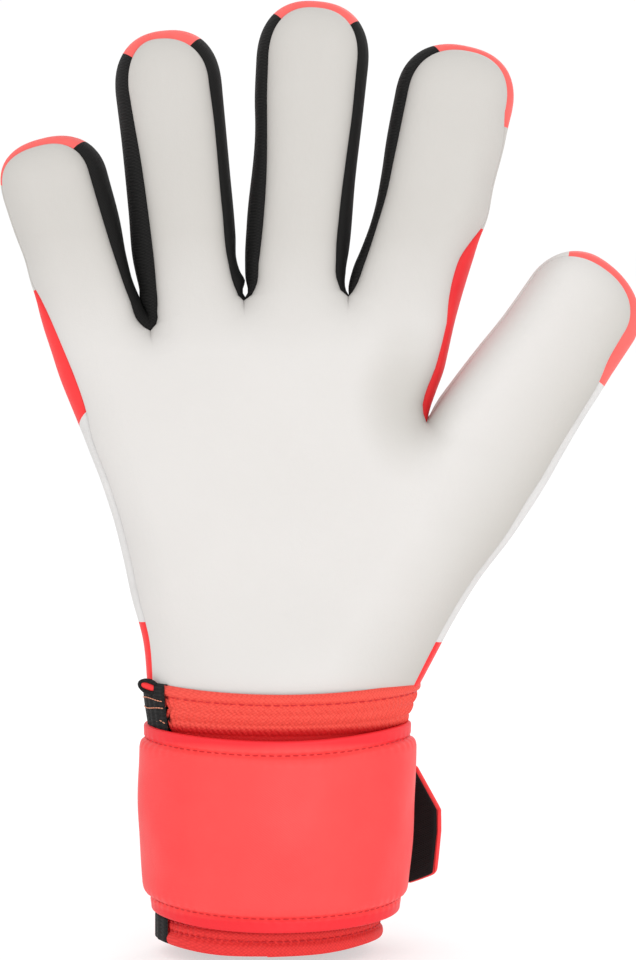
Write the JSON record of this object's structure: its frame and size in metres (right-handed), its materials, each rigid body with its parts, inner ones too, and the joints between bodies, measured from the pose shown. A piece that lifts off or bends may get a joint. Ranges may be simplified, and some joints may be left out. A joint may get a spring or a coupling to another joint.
{
  "type": "goalkeeper glove",
  "caption": "Right-hand football goalkeeper glove: pale latex palm, black finger gussets, coral backhand, knitted elastic cuff and a padded coral wrist strap with a peel-off closure.",
  "frame": {"origin": "middle of the wrist opening, in the plane of the cuff's lower rim", "axes": "+Z from the wrist towards the fingertips, +X towards the thumb, -Y out of the palm, so the back of the hand faces +Y"},
  "size_m": [0.1886, 0.0642, 0.2807],
  "materials": {
    "latex_foam": "matt, fine-pored",
    "gusset_mesh": "matt ribbed mesh",
    "backhand_coral": "satin, grained",
    "panel_white": "matt mesh",
    "lining_knit": "soft brushed knit",
    "elastic_knit": "chevron-knitted elastic",
    "webbing_black": "woven webbing",
    "thread_orange": "glossy thread",
    "strap_coral": "smooth satin",
    "loop_pile": "fuzzy loop pile",
    "hook_nylon": "fine hook rows"
  },
  "bodies": {
    "cuff": {"cuff_sleeve": "elastic_knit", "cuff_insert": "webbing_black", "cuff_lining": "lining_knit", "cuff_hem": "elastic_knit", "elastic_band": "elastic_knit", "pull_loop": "webbing_black", "bar_tacks": "thread_orange", "strap_band": "strap_coral", "strap_pad": "strap_coral", "strap_borders": "strap_coral", "loop_patch": "loop_pile"},
    "hand": {"palm_foam": "latex_foam", "backhand": "backhand_coral", "backhand_lining": "lining_knit", "punch_zone": "backhand_coral", "little_side_panel": "panel_white", "thumb_side_panel": "panel_white", "thumb_web": "backhand_coral", "web_gussets": "gusset_mesh"},
    "little_base": {"little_palm_foam_base": "latex_foam", "little_back_base": "backhand_coral", "little_gusset_base": "gusset_mesh"},
    "little_tip": {"little_palm_foam_tip": "latex_foam", "little_back_tip": "backhand_coral", "little_gusset_tip": "gusset_mesh", "little_tip_cap": "backhand_coral"},
    "ring_base": {"ring_palm_foam_base": "latex_foam", "ring_back_base": "backhand_coral", "ring_gussets_base": "gusset_mesh"},
    "ring_tip": {"ring_palm_foam_tip": "latex_foam", "ring_back_tip": "backhand_coral", "ring_gussets_tip": "gusset_mesh", "ring_tip_cap": "backhand_coral"},
    "middle_base": {"middle_palm_foam_base": "latex_foam", "middle_back_base": "backhand_coral", "middle_gussets_base": "gusset_mesh"},
    "middle_tip": {"middle_palm_foam_tip": "latex_foam", "middle_back_tip": "backhand_coral", "middle_gussets_tip": "gusset_mesh", "middle_tip_cap": "backhand_coral"},
    "index_base": {"index_palm_foam_base": "latex_foam", "index_back_base": "backhand_coral", "index_gusset_base": "gusset_mesh"},
    "index_tip": {"index_palm_foam_tip": "latex_foam", "index_back_tip": "backhand_coral", "index_gusset_tip": "gusset_mesh", "index_tip_cap": "backhand_coral"},
    "thumb_base": {"thumb_palm_foam_base": "latex_foam", "thumb_back_base": "backhand_coral", "thumb_gusset_base": "gusset_mesh"},
    "thumb_tip": {"thumb_palm_foam_tip": "latex_foam", "thumb_back_tip": "backhand_coral", "thumb_gusset_tip": "gusset_mesh", "thumb_tip_cap": "backhand_coral"},
    "closure": {"flap": "strap_coral", "hook_patch": "hook_nylon", "flap_grip": "strap_coral"}
  },
  "joints": [
    {"name": "wrist_flex", "type": "hinge", "parent": "cuff", "child": "hand", "pos_m": [0, 0, 0.073], "axis": [1, 0, 0], "range_deg": [-25, 30], "deforming": ["elastic_band", "cuff_insert"]},
    {"name": "little_knuckle", "type": "hinge", "parent": "hand", "child": "little_base", "pos_m": [-0.05613, -0.00499, 0.19177], "axis": [0.9694, 0, 0.2453], "range_deg": [0, 60]},
    {"name": "little_fold", "type": "hinge", "parent": "little_base", "child": "little_tip", "pos_m": [-0.06211, -0.00712, 0.21543], "axis": [0.9694, 0, 0.2453], "range_deg": [0, 60]},
    {"name": "ring_knuckle", "type": "hinge", "parent": "hand", "child": "ring_base", "pos_m": [-0.02675, -0.00499, 0.20067], "axis": [0.9963, 0, 0.0854], "range_deg": [0, 60]},
    {"name": "ring_fold", "type": "hinge", "parent": "ring_base", "child": "ring_tip", "pos_m": [-0.02951, -0.00782, 0.23292], "axis": [0.9963, 0, 0.0854], "range_deg": [0, 60]},
    {"name": "middle_knuckle", "type": "hinge", "parent": "hand", "child": "middle_base", "pos_m": [0.00595, -0.00499, 0.20487], "axis": [0.9963, 0, -0.0854], "range_deg": [0, 60]},
    {"name": "middle_fold", "type": "hinge", "parent": "middle_base", "child": "middle_tip", "pos_m": [0.0088, -0.00791, 0.23812], "axis": [0.9963, 0, -0.0854], "range_deg": [0, 60]},
    {"name": "index_knuckle", "type": "hinge", "parent": "hand", "child": "index_base", "pos_m": [0.04072, -0.00499, 0.20242], "axis": [0.974, 0, -0.2267], "range_deg": [0, 60]},
    {"name": "index_fold", "type": "hinge", "parent": "index_base", "child": "index_tip", "pos_m": [0.04783, -0.00773, 0.23298], "axis": [0.974, 0, -0.2267], "range_deg": [0, 60]},
    {"name": "thumb_knuckle", "type": "hinge", "parent": "hand", "child": "thumb_base", "pos_m": [0.06778, -0.00756, 0.15583], "axis": [0.8339, 0, -0.5519], "range_deg": [0, 45]},
    {"name": "thumb_fold", "type": "hinge", "parent": "thumb_base", "child": "thumb_tip", "pos_m": [0.08308, -0.01146, 0.17895], "axis": [0.8339, 0, -0.5519], "range_deg": [0, 50]},
    {"name": "closure_peel", "type": "hinge", "parent": "cuff", "child": "closure", "pos_m": [-0.01508, 0.02791, 0.039], "axis": [0, 0, 1], "range_deg": [0, 130]}
  ]
}
